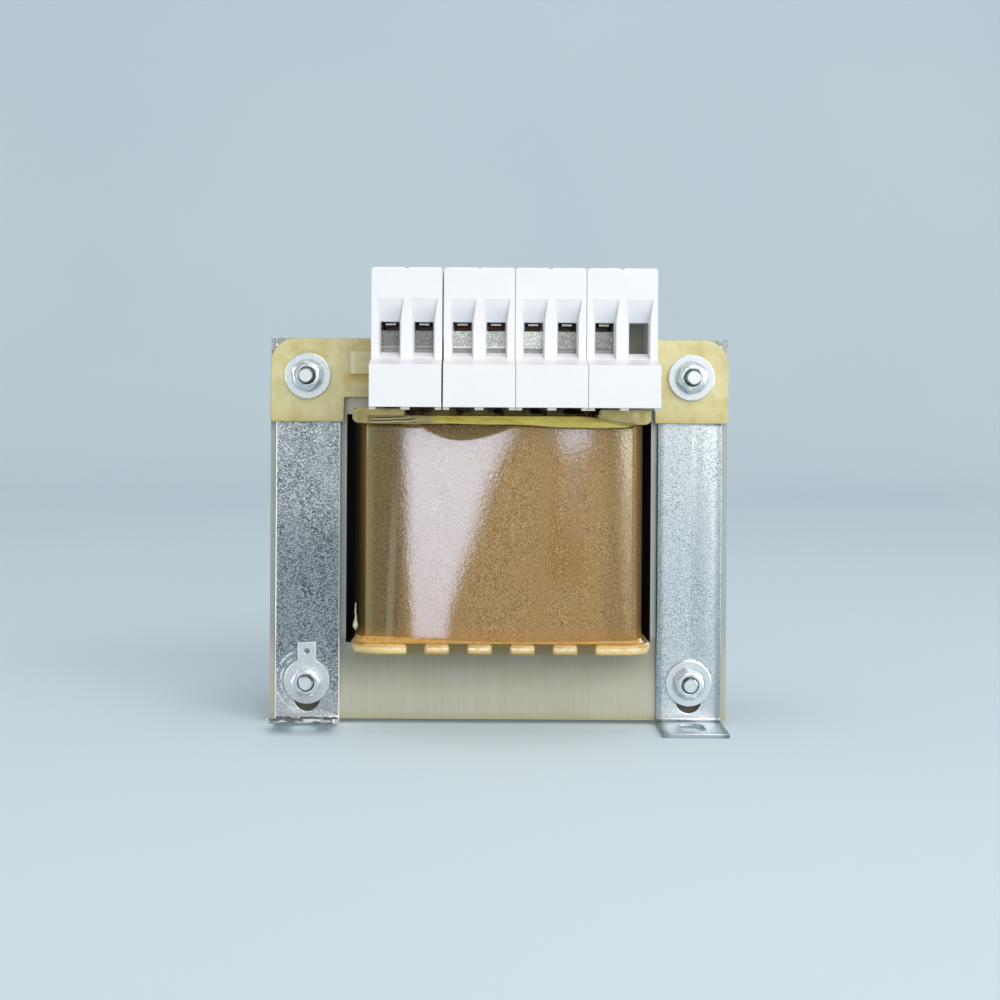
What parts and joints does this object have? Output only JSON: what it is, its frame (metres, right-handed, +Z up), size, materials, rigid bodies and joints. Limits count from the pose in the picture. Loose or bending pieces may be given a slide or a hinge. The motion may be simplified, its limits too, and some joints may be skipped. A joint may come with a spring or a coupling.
{
  "type": "fan speed autotransformer",
  "caption": "Open-frame autotransformer: laminated core, wrapped coil on a bobbin, foot brackets with slots, and a row of screw terminals for stepped fan speeds.",
  "frame": {"origin": "on the surface that the feet stand on, under the middle of the whole part", "axes": "+Z up; the terminals face -Y; +X to the right when looking at the terminals"},
  "size_m": [0.12, 0.0864, 0.1185],
  "materials": {
    "core_steel": "satin",
    "bobbin_plastic": "satin",
    "copper": "satin",
    "kraft_paper": "matte",
    "clear_film": "gloss",
    "yellow_tape": "gloss",
    "zinc_strap": "satin",
    "zinc_fixings": "satin",
    "tinned_tag": "satin",
    "glass_epoxy": "satin",
    "terminal_plastic": "satin",
    "clamp_steel": "satin",
    "contact_brass": "satin"
  },
  "bodies": {
    "root": {"e_laminations": "core_steel", "i_laminations": "core_steel", "bobbin": "bobbin_plastic", "winding": "copper", "tap_lead_1": "copper", "tap_lead_2": "copper", "tap_lead_3": "copper", "tap_lead_4": "copper", "tap_lead_5": "copper", "tap_lead_6": "copper", "tap_lead_7": "copper", "paper_wrap": "kraft_paper", "film_wrap": "clear_film", "edge_tape": "yellow_tape", "front_left_bracket": "zinc_strap", "front_right_bracket": "zinc_strap", "rear_left_bracket": "zinc_strap", "rear_right_bracket": "zinc_strap", "core_bolts": "zinc_fixings", "core_nuts": "zinc_fixings", "front_washers": "zinc_fixings", "rear_washers": "zinc_fixings", "earth_tag": "tinned_tag", "terminal_plate": "glass_epoxy", "terminal_rail": "glass_epoxy", "terminal_block_1": "terminal_plastic", "terminal_block_2": "terminal_plastic", "terminal_block_3": "terminal_plastic", "terminal_block_4": "terminal_plastic", "clamp_cage_1": "clamp_steel", "clamp_cage_2": "clamp_steel", "clamp_cage_3": "clamp_steel", "clamp_cage_4": "clamp_steel", "clamp_cage_5": "clamp_steel", "clamp_cage_6": "clamp_steel", "clamp_cage_7": "clamp_steel", "clamp_screws": "clamp_steel", "contact_bar_1": "contact_brass", "contact_bar_2": "contact_brass", "contact_bar_3": "contact_brass", "contact_bar_4": "contact_brass", "contact_bar_5": "contact_brass", "contact_bar_6": "contact_brass", "contact_bar_7": "contact_brass"}
  },
  "joints": []
}
